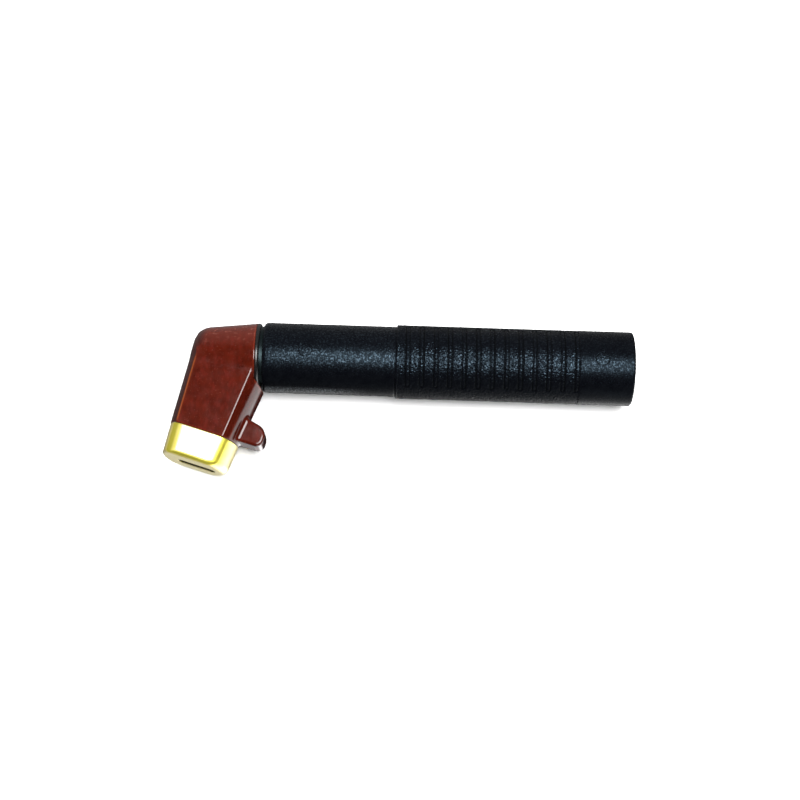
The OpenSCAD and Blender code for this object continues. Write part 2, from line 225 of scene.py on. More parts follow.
def surface_quads(field, numbers):
    """A quad round each grid edge that the surface crosses, through the points of its four cells."""
    cells = numbers.shape
    quads = []
    for axis in range(3):
        u, v = (axis + 1) % 3, (axis + 2) % 3
        starts = [slice(1, n) for n in cells]
        ends = list(starts)
        starts[axis] = slice(0, cells[axis])
        ends[axis] = slice(1, cells[axis] + 1)
        start, end = field[tuple(starts)], field[tuple(ends)]

        def neighbour(du, dv):
            part = [None] * 3
            part[axis] = slice(0, cells[axis])
            part[u] = slice(1 - du, cells[u] - du)
            part[v] = slice(1 - dv, cells[v] - dv)
            return numbers[tuple(part)]

        loop = np.stack([neighbour(1, 1), neighbour(0, 1), neighbour(0, 0), neighbour(1, 0)], -1)
        quads.append(loop[(start < 0) & (end >= 0)])
        quads.append(loop[(start >= 0) & (end < 0)][:, ::-1])
    return np.concatenate(quads)


def skin_of(distance, step):
    """Points and quads on the surface where distance(points) is 0, in a box round the head."""
    low = (CROSSING_X - 38, -64, -18)
    high = (CROSSING_X + 21, 18, 18)
    axes = [np.arange(a, b + step, step) for a, b in zip(low, high)]
    grid = np.stack(np.meshgrid(*axes, indexing="ij"), -1)
    field = np.concatenate([distance(slab.reshape(-1, 3)) for slab in grid]).reshape(grid.shape[:3])
    points, numbers = surface_cells(field)
    points = np.array(low) + points * step
    # slide each point onto the surface
    for _ in range(3):
        slope = slope_of(distance, points)
        steepness = np.maximum((slope**2).sum(-1), 0.25)
        move = -distance(points)[:, None] * slope / steepness[:, None]
        points = points + np.clip(move, -0.4 * step, 0.4 * step)
    return points, surface_quads(field, numbers)


def lathe(profile, turns):
    """A ring turned about x from a closed list of (x, radius), as points and quads."""
    profile = np.asarray(profile, float)
    rows = len(profile)
    x = np.repeat(profile[:, 0], turns)
    radius = np.repeat(profile[:, 1], turns)
    angle = np.tile(np.arange(turns) * 2 * math.pi / turns, rows)
    points = np.stack([x, radius * np.cos(angle), radius * np.sin(angle)], -1)
    i, j = np.meshgrid(np.arange(rows), np.arange(turns), indexing="ij")
    k, m = (i + 1) % rows, (j + 1) % turns
    quads = np.stack([i * turns + j, k * turns + j, k * turns + m, i * turns + m], -1).reshape(-1, 4)
    return points, quads


def rounded_path(corners, step):
    """A closed path of (x, r) points through corners given as (x, r, radius), finely divided."""
    path = []
    count = len(corners)
    for i, (x, r, radius) in enumerate(corners):
        here = np.array([x, r])
        before = np.array(corners[i - 1][:2]) - here
        after = np.array(corners[(i + 1) % count][:2]) - here
        before, after = before / np.linalg.norm(before), after / np.linalg.norm(after)
        half = math.acos(float(before @ after)) / 2
        reach = radius / math.tan(half)
        centre = here + (before + after) / np.linalg.norm(before + after) * radius / math.sin(half)
        a = here + before * reach - centre
        b = here + after * reach - centre
        parts = max(4, int(radius * (math.pi - 2 * half) / step))
        for t in np.linspace(0, 1, parts + 1):
            mix = a * (1 - t) + b * t
            path.append(centre + mix / np.linalg.norm(mix) * radius)
    full = []
    for p, q in zip(path, path[1:] + path[:1]):
        parts = max(1, int(np.linalg.norm(q - p) / step))
        full += [p + (q - p) * t / parts for t in range(parts)]
    return full


# ---- Head: shapes as distances in millimetres, negative inside ----


def in_head(p):
    """(w, n, z): w towards the handle side, n towards the nose."""
    x, y = p[:, 0] - CROSSING_X, p[:, 1]
    return x * math.cos(LEAN) - y * math.sin(LEAN), -x * math.sin(LEAN) - y * math.cos(LEAN), p[:, 2]


def rounded_side(w, z, edge, radius):
    """A bar on the smaller-w side of edge, with a round face that touches w = edge at z = 0."""
    return np.hypot(np.maximum(w - edge + radius, 0), z) - radius


def casting_leg(p, gap):
    """The casting's leg and crown, grown by gap."""
    w, n, z = in_head(p)
    x, y = p[:, 0], p[:, 1]
    half_w = LEG_HALF_W + gap
    half_z = LEG_HALF_Z + gap
    before_face = x - LEG_FACE_X - gap
    leg = np.maximum.reduce([np.abs(w) - half_w, np.abs(z) - half_z, n - SEAM_N - 1, y, before_face])
    crown = np.maximum.reduce([np.hypot(y, z) - half_z, -w - half_w, before_face, -y - 1])
    return np.minimum(leg, crown)


def insulator_left(w, n, z):
    """The insulator's rounded left side, which tapers towards the nose."""
    return rounded_side(-w, z, LEFT_W - LEFT_TAPER * n, LEFT_SIDE_R)


def insulator_leg(p):
    """The leg: flat in front and behind, round at its sides, and rounded over at its upper end."""
    w, n, z = in_head(p)
    y = p[:, 1]
    flat = np.abs(z) - INSULATOR_HALF_Z
    left = insulator_left(w, n, z)
    right = rounded_side(w, z, RIGHT_W - RIGHT_TAPER * n, 15.7 + 0.04 * np.clip(n, 0, 45))
    sides = np.maximum(
        fillet_cut(right, flat, cosine=0.83, radius=1.3),
        fillet_cut(left, flat, cosine=0.6, radius=1.0),
    )
    crown = np.hypot(np.maximum(y + 6, 0), z) - 14.0
    under_axis = np.where(w > 0, y, -9.0)
    return np.maximum.reduce([sides, crown, under_axis])


def beyond_cone(x, reach):
    """How far a point at this reach from the handle axis lies outside the barrel's cone."""
    return (reach - BARREL_R - (x - BARREL_X) * BARREL_SLOPE) / math.hypot(1, BARREL_SLOPE)


def insulator_lug(w, n, z):
    """The lug on the handle side, with a sloping top and a rounded end."""
    top = (30.0 + LUG_SLOPE * (w - 23.1) - n) / math.hypot(1, LUG_SLOPE)
    outline = round_cut(round_cut(top, w - 29.4, 4.6), n - 41.2, 3.8)
    outline = np.maximum(outline, 10 - w)
    return round_cut(outline, np.abs(z) - 7.0, 1.5)


def insulator(p):
    """The red moulding: a leg, a barrel and a lug, hollow for the casting."""
    w, n, z = in_head(p)
    x, y = p[:, 0], p[:, 1]
    from_axis = np.hypot(y, z)
    # the barrel: a cone about the handle axis with a well rounded shoulder
    barrel = round_cut(beyond_cone(x, from_axis), BARREL_END_X - x, 9.5)
    barrel = round_cut(barrel, insulator_left(w, n, z), 0.8)
    outer = round_join(insulator_leg(p), barrel, 1.2)
    # seen along z, the corner over the left side is one arc
    beyond_left = LEFT_TAPER * n - LEFT_W - w
    outer = np.maximum(outer, fillet_cut(beyond_left, beyond_cone(x, y), cosine=0.38, radius=8.3))
    outer = round_join(outer, insulator_lug(w, n, z), 1.6)
    outer = round_cut(outer, n - SEAM_N + 0.15, 0.4)
    # room for the collar ring and for the handle's front edge
    outer = round_cut(outer, np.minimum(x - COLLAR_X, 18.1 - from_axis), 0.4)
    hollow = np.minimum(casting_leg(p, 0.2), np.maximum(from_axis - 12.2, LEG_FACE_X - x))
    return np.maximum(outer, -hollow)


def nose_slot(w, z):
    """The slot in the nose, whose right end is the electrode's seat."""
    half_length = SEAT_W - SLOT_MIDDLE_W
    return np.hypot(np.maximum(np.abs(w - SLOT_MIDDLE_W) - half_length, 0), z) - SEAT_R


def casting_hollows(p):
    """The lever's room, the spigot's bore, and the holes of the spring, the pivot pin and the lock screw."""
    w, n, z = in_head(p)
    x, y = p[:, 0], p[:, 1]
    from_axis = np.hypot(y, z)
    spigot_bore_r, spring_hole_r, lock_hole_r = 7.5, 3.12, 1.5
    room = np.maximum.reduce([-9 - w, w - 5.5, -4.2 - n, n - SHOULDER_N - 0.5, np.abs(z) - 3.5])
    room = np.maximum(room, np.where(y > -7, x - SPIGOT_X, -1.0))
    bore = np.maximum(from_axis - spigot_bore_r, SPIGOT_X - x)
    spring_hole = np.maximum(from_axis - spring_hole_r, x - CROSSING_X + 8)
    pivot_x = CROSSING_X - PIVOT_N * math.sin(LEAN)
    pivot_y = -PIVOT_N * math.cos(LEAN)
    pivot = np.hypot(x - pivot_x, y - pivot_y) - PIVOT_R
    lock = np.maximum(np.hypot(x - CROSSING_X - 4, z) - lock_hole_r, 4.9 - y)
    return np.minimum.reduce([room, bore, spring_hole, pivot, lock])


def casting(p):
    """The brass nose with its slot, and the leg inside the insulator."""
    w, n, z = in_head(p)
    left = rounded_side(-w, z, 17.45 - 0.075 * (n - SEAM_N), 23.0)
    right = rounded_side(w, z, 17.75 - 0.081 * (n - SEAM_N), 17.4)
    outline = np.maximum(round_cut(left, n - NOSE_N, 1.6), round_cut(right, n - NOSE_N, 3.6))
    nose = round_cut(outline, np.abs(z) - NOSE_HALF_Z, NOSE_EDGE_R)
    nose = round_cut(nose, SEAM_N - n, 0.3)
    body = np.minimum(nose, casting_leg(p, 0))
    slot = np.maximum(nose_slot(w, z), SHOULDER_N - n)
    body = round_cut(body, -slot, 0.3)
    return np.maximum(body, -casting_hollows(p))


def convex_edges(points, normals, distance, reach):
    """0 on flats and towards 1 on convex edges, from how deep a point reach below the surface lies."""
    return np.clip((distance(points - normals * reach) + reach) / reach, -1, 1)


def insulator_moulding():
    points, quads = skin_of(insulator, 0.42)
    piece = new_piece("insulator_moulding", points, [quads], "head", ["head_insulator"])
    normals = surface_normals(insulator, points)
    shade_by_normals(piece, normals)
    w, n, z = in_head(points)
    off_crease = np.hypot(np.abs(z) - INSULATOR_HALF_Z, insulator_left(w, n, z))
    along_crease = smoothstep(6, 12, n) * (1 - smoothstep(40.5, 42.5, n))
    to_left = normals[:, 1] * math.sin(LEAN) - normals[:, 0] * math.cos(LEAN)
    # convex edges, for wear and a painted edge highlight
    paint_vertices(piece, "edge", convex_edges(points, normals, insulator, 1.2))
    # painted shade: the side that faces left is marked to be painted darker
    paint_vertices(piece, "dull", 0.8 * smoothstep(0.3, 0.7, to_left))
    # a painted highlight along the crease on the left side
    paint_vertices(piece, "crease_highlight", np.exp(-((off_crease / 0.36) ** 2)) * along_crease)
    # the barrel, for its scuffs and a painted sheen
    paint_vertices(piece, "barrel", smoothstep(0, 11, points[:, 1]))
    return piece


def nose_casting():
    points, quads = skin_of(casting, 0.36)
    piece = new_piece("brass_nose_casting", points, [quads], "head", ["head_casting"])
    normals = surface_normals(casting, points)
    shade_by_normals(piece, normals)
    w, n, z = in_head(points)
    # painted light by which way the surface faces: a highlight on the flats, a dark reflection on their
    # rounded rim and a greyer reflection on the sides
    facing = np.abs(normals[:, 2])
    rim = smoothstep(0.55, 0.72, facing) * (1 - smoothstep(0.89, 0.96, facing))
    # painted shade inside the slot
    paint_vertices(piece, "inside", (nose_slot(w, z) < 0.12) & (n < NOSE_N - 0.15))
    paint_vertices(piece, "face", smoothstep(0.975, 0.998, facing))
    paint_vertices(piece, "side", 1 - smoothstep(0.3, 0.6, facing))
    paint_vertices(piece, "rim", rim)
    return piece


# ---- Handle: a fine grid round the axis, with grooves and a pebbled grip pressed into it ----


def pebbles(x, around, cell, seed):
    """Cellular relief from 0 in the creases to 1 on the pebbles, closed round the handle."""
    # a little more than the grip's length
    length = 96
    circumference = 2 * math.pi * GRIP_R
    rng = np.random.RandomState(seed)
    columns = int(round(circumference / cell))
    rows = int(length / cell) + 4
    jitter = rng.uniform(0.1, 0.9, (rows, columns, 2))
    level = rng.uniform(0.55, 1.0, (rows, columns))
    u = (around % circumference) / circumference * columns
    v = x / cell + 1
    iu, iv = np.floor(u).astype(int), np.floor(v).astype(int)
    first = np.full(x.shape, 9.0)
    second = np.full(x.shape, 9.0)
    height = np.zeros(x.shape)
    for du in (-1, 0, 1):
        for dv in (-1, 0, 1):
            column, row = (iu + du) % columns, np.clip(iv + dv, 0, rows - 1)
            away = np.hypot(iu + du + jitter[row, column, 0] - u, iv + dv + jitter[row, column, 1] - v)
            nearer = away < first
            second = np.where(nearer, first, np.minimum(second, away))
            height = np.where(nearer, level[row, column], height)
            first = np.where(nearer, away, first)
    return smoothstep(0.02, 0.38, second - first) * height


def rib_distance(x, around):
    """Distance in mm from the nearest rib's outline, negative on the rib, on the upper or lower side."""
    which = np.clip(np.round((x - FIRST_RIB_X) / RIB_PITCH), 0, RIB_COUNT - 1)
    u = np.abs(x - FIRST_RIB_X - which * RIB_PITCH)
    half_turn = math.pi * GRIP_R
    v = np.abs(around - half_turn * np.round(around / half_turn))
    reach = GROOVE_HALF_ANGLE * GRIP_R - RIB_WIDTH / 2
    return np.hypot(u, np.maximum(v - reach, 0)) - RIB_WIDTH / 2


def handle_profile():
    """The handle's section as (x, radius) points, and where its outer points start and end in it."""
    grip_step = 0.34
    outer = []
    for start, end, step in (
        (HANDLE_FRONT + FRONT_EDGE_R, FRONT_SCREW_X - 6, 1.2),
        (FRONT_SCREW_X - 6, FRONT_SCREW_X + 6, 0.6),
        (FRONT_SCREW_X + 6, STEP_X - 1.4, 1.2),
        (STEP_X - 1.4, STEP_X + 1.2, 0.13),
        (STEP_X + 1.2, GRIP_END_X + 1.0, grip_step),
        (GRIP_END_X + 1.0, -REAR_EDGE_R, 0.6),
    ):
        outer += list(np.arange(start, end - 1e-6, step))
    outer.append(-REAR_EDGE_R)
    profile = [(FLANGE_END_X + 2, BORE_R), (FLANGE_END_X + 2, COUNTERBORE_R)]
    profile += [(x, COUNTERBORE_R) for x in np.linspace(FLANGE_END_X, HANDLE_FRONT + 0.3, 6)]
    profile += [(HANDLE_FRONT + 0.08, COUNTERBORE_R + 0.06), (HANDLE_FRONT, COUNTERBORE_R + 0.2)]
    lip_r = COUNTERBORE_R + 0.25
    for angle in np.linspace(0, math.pi / 2, 9):
        x = HANDLE_FRONT + FRONT_EDGE_R * (1 - math.cos(angle))
        profile.append((x, lip_r + (FRONT_R - lip_r) * math.sin(angle)))
    first_outer = len(profile) - 3
    profile += [(x, FRONT_R if x < STEP_X else GRIP_R) for x in outer[1:]]
    last_outer = len(profile)
    for angle in np.linspace(0, math.pi / 2, 9)[1:]:
        profile.append((REAR_EDGE_R * (math.sin(angle) - 1), GRIP_R + REAR_EDGE_R * (math.cos(angle) - 1)))
    profile += [(0, GRIP_R - 2.2), (0, BORE_R + 0.4), (-0.35, BORE_R)]
    profile += [(x, BORE_R) for x in np.linspace(-12, FLANGE_END_X + 14, 12)]
    return profile, first_outer, last_outer


def handle_mesh():
    """The handle's points and quads, and per point how far it is grip and groove, and how much less it
    shines: painted shade towards -y, and a duller grip and rear.
    """
    turns = 360
    profile, first_outer, last_outer = handle_profile()
    points, quads = lathe(profile, turns)
    rows = np.repeat(np.arange(len(profile)), turns)
    is_outer = (rows >= first_outer) & (rows < last_outer)
    x = points[:, 0]
    radius = np.hypot(points[:, 1], points[:, 2])
    angle = np.arctan2(points[:, 2], points[:, 1])
    # distance round the handle, 0 at the middle of the upper side
    around = (angle - math.pi / 2) * GRIP_R
    # the step between the plain part and the grip, with a fine groove at its foot
    rise = smoothstep(STEP_X - 0.25, STEP_X + 0.55, x)
    radius = np.where(is_outer & (np.abs(x - STEP_X) < 1.5), FRONT_R + (GRIP_R - FRONT_R) * rise, radius)
    foot = np.exp(-(((x - STEP_X + 0.35) / 0.3) ** 2)) * 0.22
    # pebbled grip: it fades out at the step, at the rear and on the ribs' grooves
    textured = smoothstep(STEP_X + 0.5, STEP_X + 1.1, x)
    textured = textured * (1 - smoothstep(GRIP_END_X - 0.2, GRIP_END_X + 0.5, x))
    coarse = pebbles(x - STEP_X, around, cell=0.95, seed=7)
    fine = pebbles(x - STEP_X, around, cell=0.62, seed=11)
    height = (0.62 * coarse + 0.38 * fine - 1.0) * 0.28 * textured
    away = rib_distance(x, around)
    groove = smoothstep(-0.06, 0.12, away) * (1 - smoothstep(GROOVE_WIDTH - 0.12, GROOVE_WIDTH + 0.06, away))
    height = height * (1 - groove) - groove * GROOVE_DEPTH * textured - foot
    # a faint mould parting line along each side
    from_parting = np.minimum(np.abs(angle), math.pi - np.abs(angle)) * GRIP_R
    parting = np.exp(-((from_parting / 0.22) ** 2)) * 0.05
    radius = np.where(is_outer, radius + height - parting * (1 - textured), radius)
    points[:, 1] = radius * np.cos(angle)
    points[:, 2] = radius * np.sin(angle)
    # painted shade: the side towards -y shines less, apart from a strip near the head that faces -y; the
    # plain rear shines less too
    off_side = np.abs(np.abs(angle) - math.radians(76)) * (points[:, 1] < 0)
    low = smoothstep(math.radians(40), math.radians(62), off_side)
    bright_edge = smoothstep(math.radians(156), math.radians(164), np.abs(angle))
    bright_edge = bright_edge * (1 - smoothstep(HANDLE_FRONT + 25, HANDLE_FRONT + 55, x))
    duller = 0.15 * textured + 0.55 * smoothstep(GRIP_END_X - 1, GRIP_END_X + 1, x)
    dull = np.maximum(low * (1 - bright_edge), duller)
    return points, quads, textured * is_outer, groove * textured * is_outer, dull


def cut_screw_holes(piece, x):
    """Cuts a screw hole, with a wider mouth for its plug, through the upper and the lower wall."""
    inside, outside = 10.0, 24.0
    levels = [
        (inside, SCREW_HOLE_R),
        (PLUG_SEAT_R, SCREW_HOLE_R),
        (PLUG_SEAT_R, PLUG_HOLE_R),
        (outside, PLUG_HOLE_R),
    ]
    count = 64
    points = []
    for level, radius in levels:
        for k in range(count):
            a = 2 * math.pi * k / count
            points.append((x + radius * math.cos(a), radius * math.sin(a), level))
    faces = [tuple(range(count - 1, -1, -1)), tuple(range(3 * count, 4 * count))]
    for ring in range(3):
        for k in range(count):
            m = (k + 1) % count
            faces.append((ring * count + k, ring * count + m, (ring + 1) * count + m, (ring + 1) * count + k))
    for side in (1, -1):
        placed = [TO_ROW @ Vector((p[0], p[1] * side, p[2] * side)) for p in points]
        mesh = bpy.data.meshes.new("cutter")
        mesh.from_pydata(placed, [], faces)
        cutter = bpy.data.objects.new("cutter", mesh)
        bpy.context.scene.collection.objects.link(cutter)
        cut = piece.modifiers.new("hole", "BOOLEAN")
        cut.operation = "DIFFERENCE"
        cut.object = cutter
        cut.solver = "EXACT"
        bpy.context.view_layer.update()
        solid = piece.evaluated_get(bpy.context.evaluated_depsgraph_get())
        made = bpy.data.meshes.new_from_object(solid)
        piece.modifiers.remove(cut)
        old = piece.data
        piece.data = made
        bpy.data.meshes.remove(old)
        bpy.data.objects.remove(cutter)
        bpy.data.meshes.remove(mesh)


def handle_moulding():
    points, quads, grip, groove, dull = handle_mesh()
    piece = new_piece("handle_moulding", points, [quads], "handle", ["handle_shell"])
    paint_vertices(piece, "grip", grip)
    paint_vertices(piece, "groove", groove)
    # painted shade: less shine on the side towards -y, and on the duller grip and rear
    paint_vertices(piece, "under", dull)
    cut_screw_holes(piece, FRONT_SCREW_X)
    cut_screw_holes(piece, REAR_SCREW_X)
    return piece


def plug_pair(name, x, surface_r, stands_for):
    """Two round plugs, one above and one below, with a rounded rim, following the handle's surface."""
    # each ring's radius and how far it drops below the plug's top
    rim = [(3.05, 0.0), (3.16, 0.02), (3.22, 0.06), (3.25, 0.14), (PLUG_R, 0.4)]
    rings = [(1.2, 0.0), (2.3, 0.0), *rim]
    turns = 48
    sunk = 0.03
    thickness = 1.1
    around = [2 * math.pi * k / turns for k in range(turns)]
    points, quads, tris = [], [], []
    for side in (1, -1):
        top = len(points)
        points.append((x, 0.0, side * (surface_r - sunk)))
        for r, drop in rings:
            for a in around:
                y = r * math.sin(a) * side
                level = math.sqrt(surface_r**2 - y * y) - sunk - drop
                points.append((x + r * math.cos(a), y, side * level))
        foot_z = side * (surface_r - thickness)
        points += [(x + PLUG_R * math.cos(a), PLUG_R * math.sin(a) * side, foot_z) for a in around]
        points.append((x, 0.0, foot_z))
        last = len(points) - 1
        foot_ring = last - turns
        for k in range(turns):
            m = (k + 1) % turns
            tris.append((top, top + 1 + k, top + 1 + m))
            for ring in range(len(rings)):
                start = top + 1 + ring * turns
                quads.append((start + k, start + turns + k, start + turns + m, start + m))
            tris.append((last, foot_ring + m, foot_ring + k))
    return new_piece(name, points, [np.array(quads), np.array(tris)], "handle", stands_for)


# ---- Collar ring and return spring ----


def collar_ring():
    front, back = COLLAR_X + 0.05, COLLAR_END_X - 0.02
    corners = [
        (front, COLLAR_BORE_R, 0.1),
        (front, COLLAR_R, 0.25),
        (back, COLLAR_R, 1.3),
        (back, COLLAR_BORE_R, 0.1),
    ]
    points, quads = lathe(rounded_path(corners, 0.2), 160)
    return new_piece("black_collar_ring", points, [quads], "head", ["collar_ring"])


def coil_spring():
    """A helical spring along x with close end turns, as points, quads and end triangles."""
    start, end = CROSSING_X - 10.75, CROSSING_X - 5.46
    wire_r, mean_r = 0.4, 2.3
    turns, sides = 5, 14
    steps = 36 * turns
    turn = np.linspace(0, turns, steps + 1)
    close = 2 * wire_r
    open_pitch = (end - start - 2 * close) / (turns - 2)
    x = start + close * np.minimum(turn, 1) + open_pitch * np.clip(turn - 1, 0, turns - 2)
    x = x + close * np.maximum(turn - turns + 1, 0)
    angle = turn * 2 * math.pi
    around = np.arange(sides) * 2 * math.pi / sides
    along = x[:, None] + wire_r * np.sin(around)
    reach = mean_r + wire_r * np.cos(around)
    rings = [along, np.cos(angle)[:, None] * reach, np.sin(angle)[:, None] * reach]
    points = np.stack(rings, -1).reshape(-1, 3)
    centres = np.stack([x, mean_r * np.cos(angle), mean_r * np.sin(angle)], -1)[[0, -1]]
    i, k = np.meshgrid(np.arange(steps), np.arange(sides), indexing="ij")
    m = (k + 1) % sides
    quads = np.stack([i * sides + k, i * sides + m, (i + 1) * sides + m, (i + 1) * sides + k], -1)
    ring = np.arange(sides)
    ahead = (ring + 1) % sides
    first, last, base = len(points), len(points) + 1, steps * sides
    start_cap = np.stack([np.full(sides, first), ahead, ring], -1)
    end_cap = np.stack([np.full(sides, last), base + ring, base + ahead], -1)
    return np.concatenate([points, centres]), quads.reshape(-1, 4), np.concatenate([start_cap, end_cap])


def return_spring():
    points, quads, caps = coil_spring()
    piece = new_piece("coil_return_spring", points, [quads, caps], "head", ["return_spring"])
    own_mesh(piece)
    return piece


# ---- Materials ----


def material(name):
    """A new material, its node tree and its shader."""
    made = bpy.data.materials.new(name)
    made.use_nodes = True
    tree = made.node_tree
    return made, tree, tree.nodes["Principled BSDF"]


def node(tree, kind, **values):
    """A new node; in_ values go to its inputs and the others to its settings."""
    made = tree.nodes.new(kind)
    for key, value in values.items():
        if key.startswith("in_"):
            made.inputs[key[3:].replace("_", " ")].default_value = value
        else:
            setattr(made, key, value)
    return made


def object_noise(tree, scale, detail=3.0, roughness=0.55, stretch=None):
    """Noise in object space, in metres, so that it has a real size; stretch draws it out along an axis."""
    source = node(tree, "ShaderNodeTexCoord").outputs["Object"]
    if stretch:
        mapping = node(tree, "ShaderNodeMapping", in_Scale=stretch)
        tree.links.new(source, mapping.inputs["Vector"])
        source = mapping.outputs["Vector"]
    noise = node(tree, "ShaderNodeTexNoise", in_Scale=scale, in_Detail=detail, in_Roughness=roughness)
    tree.links.new(source, noise.inputs["Vector"])
    return noise.outputs["Fac"]


def ramp(tree, source, *stops):
    """Colours along a value; each stop is a place and a colour or a grey."""
    made = node(tree, "ShaderNodeValToRGB")
    elements = made.color_ramp.elements
    while len(elements) < len(stops):
        elements.new(0.5)
    for element, (place, colour) in zip(elements, stops):
        rgb = colour if isinstance(colour, tuple) else (colour,) * 3
        element.position = place
        element.color = (*rgb, 1)
    tree.links.new(source, made.inputs["Fac"])
    return made.outputs["Color"]


def mixed(tree, factor, a, b):
    """Colour a where the factor is 0 and b where it is 1, by the Mix node's colour sockets."""
    made = node(tree, "ShaderNodeMix", data_type="RGBA")
    for socket, value in ((made.inputs["Factor"], factor), (made.inputs[6], a), (made.inputs[7], b)):
        if isinstance(value, tuple):
            socket.default_value = (*value, 1)
        else:
            tree.links.new(value, socket)
    return made.outputs[2]


def attribute(tree, name):
    """A number painted on the piece's vertices."""
    return node(tree, "ShaderNodeAttribute", attribute_name=name).outputs["Fac"]


def bump(tree, bsdf, height, distance, strength):
    """Adds relief to the shader's normal, distance in metres."""
    made = node(tree, "ShaderNodeBump", in_Strength=strength, in_Distance=distance)
    tree.links.new(height, made.inputs["Height"])
    if bsdf.inputs["Normal"].links:
        tree.links.new(bsdf.inputs["Normal"].links[0].from_socket, made.inputs["Normal"])
    tree.links.new(made.outputs["Normal"], bsdf.inputs["Normal"])


BLACK = (0.0, 0.0, 0.0)
WHITE = (1.0, 1.0, 1.0)


def red_moulding():
    """Glossy red-brown moulding, cloudy and streaked, with scuffs and painted sheen on the barrel, wear and
    painted highlights on the edges and the left crease, and painted shade on the left side.
    """
    made, tree, bsdf = material("red_brown_moulding")
    barrel_sheen_and_scuffs = attribute(tree, "barrel")
    cloud = ramp(
        tree, object_noise(tree, 160, 4, 0.6), (0.3, (0.026, 0.0023, 0.0007)), (0.7, (0.042, 0.0040, 0.0012))
    )
    streak = ramp(tree, object_noise(tree, 420, 5, 0.65, (1, 0.45, 1)), (0.48, 0), (0.68, 0.5))
    base = mixed(tree, streak, cloud, (0.066, 0.006, 0.0036))
    speck = ramp(tree, object_noise(tree, 2100, 2, 0.5), (0.69, 0), (0.73, 0.5))
    base = mixed(tree, speck, base, (0.17, 0.065, 0.05))
    # painted sheen: the barrel is painted lighter
    base = mixed(tree, ramp(tree, barrel_sheen_and_scuffs, (0.0, 0), (1.0, 0.6)), base, (0.060, 0.0100, 0.0058))
    scuff = ramp(tree, object_noise(tree, 330, 5, 0.7, (1, 1.6, 1)), (0.57, 0), (0.66, 0.5))
    base = mixed(tree, mixed(tree, barrel_sheen_and_scuffs, BLACK, scuff), base, (0.19, 0.070, 0.052))
    # convex edges lighter: wear and a painted edge highlight
    worn = ramp(tree, attribute(tree, "edge"), (0.2, 0), (0.6, 0.3))
    base = mixed(tree, worn, base, (0.14, 0.020, 0.008))
    # painted shade: darker on the side that faces left
    base = mixed(tree, attribute(tree, "dull"), base, (0.012, 0.0022, 0.0016))
    # painted highlight along the left crease
    base = mixed(tree, attribute(tree, "crease_highlight"), base, (0.13, 0.030, 0.008))
    tree.links.new(base, bsdf.inputs["Base Color"])
    smear = ramp(tree, object_noise(tree, 210, 5, 0.7), (0.35, 0.10), (0.72, 0.20))
    tree.links.new(smear, bsdf.inputs["Roughness"])
    bsdf.inputs["Specular IOR Level"].default_value = 0.36
    bump(tree, bsdf, object_noise(tree, 260, 3, 0.5), 0.00002, 0.6)
    bump(tree, bsdf, object_noise(tree, 1500, 2, 0.5), 0.000012, 0.6)
    return made


def cast_brass():
    """Polished brass, with light painted by which way the surface faces: a painted highlight on the flats, a
    painted dark reflection on their rounded rim, a greyer painted reflection on the sides, and painted shade
    in the slot.
    """
    made, tree, bsdf = material("polished_cast_brass")
    tone = ramp(tree, object_noise(tree, 220, 4, 0.6), (0.3, (0.84, 0.73, 0.12)), (0.7, (0.93, 0.82, 0.22)))
    stain = ramp(tree, object_noise(tree, 520, 4, 0.6), (0.60, 0), (0.75, 0.35))
    tone = mixed(tree, stain, tone, (0.66, 0.55, 0.22))
    # painted light: a highlight on the flats, a dark reflection on the rim, a greyer reflection on the sides
    # and shade in the slot
    for zone, colour in (
        ("face", (0.97, 0.93, 0.66)),
        ("side", (0.70, 0.62, 0.32)),
        ("rim", (0.58, 0.51, 0.06)),
        ("inside", (0.03, 0.022, 0.01)),
    ):
        tone = mixed(tree, attribute(tree, zone), tone, colour)
    tree.links.new(tone, bsdf.inputs["Base Color"])
    bsdf.inputs["Metallic"].default_value = 0.80
    brushed = object_noise(tree, 900, 4, 0.6, (1, 0.12, 1))
    tree.links.new(ramp(tree, brushed, (0.3, 0.33), (0.7, 0.42)), bsdf.inputs["Roughness"])
    bump(tree, bsdf, object_noise(tree, 330, 3, 0.5), 0.00008, 0.5)
    bump(tree, bsdf, brushed, 0.000012, 0.6)
    return made


def turned_metal(name, low, high, rough):
    """Turned or ground metal: fine lines across x, and blotches in tone."""
    made, tree, bsdf = material(name)
    tone = ramp(tree, object_noise(tree, 350, 4, 0.6), (0.3, low), (0.7, high))
    tree.links.new(tone, bsdf.inputs["Base Color"])
    bsdf.inputs["Metallic"].default_value = 1.0
    lines = object_noise(tree, 1400, 3, 0.6, (1, 0.06, 0.06))
    tree.links.new(ramp(tree, lines, (0.3, rough * 0.8), (0.7, rough * 1.3)), bsdf.inputs["Roughness"])
    bump(tree, bsdf, lines, 0.00001, 0.7)
    return made


